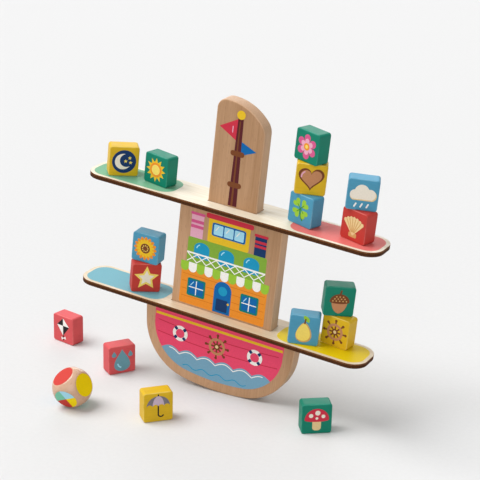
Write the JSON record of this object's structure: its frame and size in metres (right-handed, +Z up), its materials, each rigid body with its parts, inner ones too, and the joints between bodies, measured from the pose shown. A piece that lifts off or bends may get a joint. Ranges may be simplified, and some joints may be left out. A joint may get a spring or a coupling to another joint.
{
  "type": "balancing boat game",
  "caption": "Wooden balancing game: a rocking boat board carries slotted decks on which picture blocks are stacked by the throw of a rounded colour die.",
  "frame": {"origin": "the point where the rocker under the boat touches the table, at the middle of the board", "axes": "+Z up from the table, +X along the decks to the side the boat leans to, +Y from the printed front face to the back"},
  "size_m": [0.3642, 0.1516, 0.2891],
  "materials": {
    "beech": "sanded, clear matt lacquer",
    "birch_ply": "laser cut, dark edges, satin lacquer",
    "paint_yellow": "satin paint on beech",
    "paint_green": "satin paint on beech",
    "paint_blue": "satin paint on beech",
    "paint_red": "satin paint on beech"
  },
  "bodies": {
    "boat_board": {"boat_board": "beech"},
    "lower_deck": {"lower_deck": "birch_ply"},
    "upper_deck": {"upper_deck": "birch_ply"},
    "block_moon": {"block_moon": "paint_yellow"},
    "block_sun": {"block_sun": "paint_green"},
    "block_clover": {"block_clover": "paint_blue"},
    "block_heart": {"block_heart": "paint_yellow"},
    "block_flower": {"block_flower": "paint_green"},
    "block_shell": {"block_shell": "paint_red"},
    "block_cloud": {"block_cloud": "paint_blue"},
    "block_star": {"block_star": "paint_red"},
    "block_sunflower": {"block_sunflower": "paint_blue"},
    "block_pear": {"block_pear": "paint_blue"},
    "block_wheel": {"block_wheel": "paint_yellow"},
    "block_acorn": {"block_acorn": "paint_green"},
    "block_kite": {"block_kite": "paint_red"},
    "block_drop": {"block_drop": "paint_red"},
    "block_umbrella": {"block_umbrella": "paint_yellow"},
    "block_toadstool": {"block_toadstool": "paint_green"},
    "die": {"die": "beech"}
  },
  "joints": [
    {"name": "boat_rock", "type": "hinge", "parent": "block_toadstool", "child": "boat_board", "pos_m": [0, 0, 0.206], "axis": [0, 1, 0], "range_deg": [-13, 3]},
    {"name": "lower_deck_lift", "type": "slide", "parent": "boat_board", "child": "lower_deck", "axis": [0.0872, 0, 0.9962], "range_m": [0, 0.22]},
    {"name": "upper_deck_lift", "type": "slide", "parent": "lower_deck", "child": "upper_deck", "axis": [0.0872, 0, 0.9962], "range_m": [0, 0.11]},
    {"name": "moon_lift", "type": "slide", "parent": "upper_deck", "child": "block_moon", "axis": [0.0872, 0, 0.9962], "range_m": [0, 0.12]},
    {"name": "sun_lift", "type": "slide", "parent": "upper_deck", "child": "block_sun", "axis": [0.0872, 0, 0.9962], "range_m": [0, 0.12]},
    {"name": "clover_lift", "type": "slide", "parent": "upper_deck", "child": "block_clover", "axis": [0.0872, 0, 0.9962], "range_m": [0, 0.12]},
    {"name": "heart_lift", "type": "slide", "parent": "block_clover", "child": "block_heart", "axis": [0.0872, 0, 0.9962], "range_m": [0, 0.12]},
    {"name": "flower_lift", "type": "slide", "parent": "block_heart", "child": "block_flower", "axis": [0.0872, 0, 0.9962], "range_m": [0, 0.12]},
    {"name": "shell_lift", "type": "slide", "parent": "upper_deck", "child": "block_shell", "axis": [0.0872, 0, 0.9962], "range_m": [0, 0.12]},
    {"name": "cloud_lift", "type": "slide", "parent": "block_shell", "child": "block_cloud", "axis": [0.0872, 0, 0.9962], "range_m": [0, 0.12]},
    {"name": "star_lift", "type": "slide", "parent": "lower_deck", "child": "block_star", "axis": [0.0523, -0.8, 0.5977], "range_m": [0, 0.12]},
    {"name": "sunflower_lift", "type": "slide", "parent": "block_star", "child": "block_sunflower", "axis": [0.0523, -0.8, 0.5977], "range_m": [0, 0.12]},
    {"name": "pear_lift", "type": "slide", "parent": "lower_deck", "child": "block_pear", "axis": [0.0523, -0.8, 0.5977], "range_m": [0, 0.12]},
    {"name": "wheel_lift", "type": "slide", "parent": "lower_deck", "child": "block_wheel", "axis": [0.0523, 0.8, 0.5977], "range_m": [0, 0.12]},
    {"name": "acorn_lift", "type": "slide", "parent": "block_wheel", "child": "block_acorn", "axis": [0.0523, 0.8, 0.5977], "range_m": [0, 0.12]},
    {"name": "kite_lift", "type": "slide", "parent": "block_toadstool", "child": "block_kite", "axis": [0, 0, 1], "range_m": [0, 0.08]},
    {"name": "umbrella_lift", "type": "slide", "parent": "block_toadstool", "child": "block_umbrella", "axis": [0, 0, 1], "range_m": [0, 0.08]},
    {"name": "drop_lift", "type": "slide", "parent": "block_toadstool", "child": "block_drop", "axis": [0, -0.8, 0.6], "range_m": [0, 0.1]},
    {"name": "die_roll", "type": "hinge", "parent": "block_toadstool", "child": "die", "pos_m": [-0.1158, -0.1, 0.01875], "axis": [0, 1, 0], "continuous": true}
  ]
}
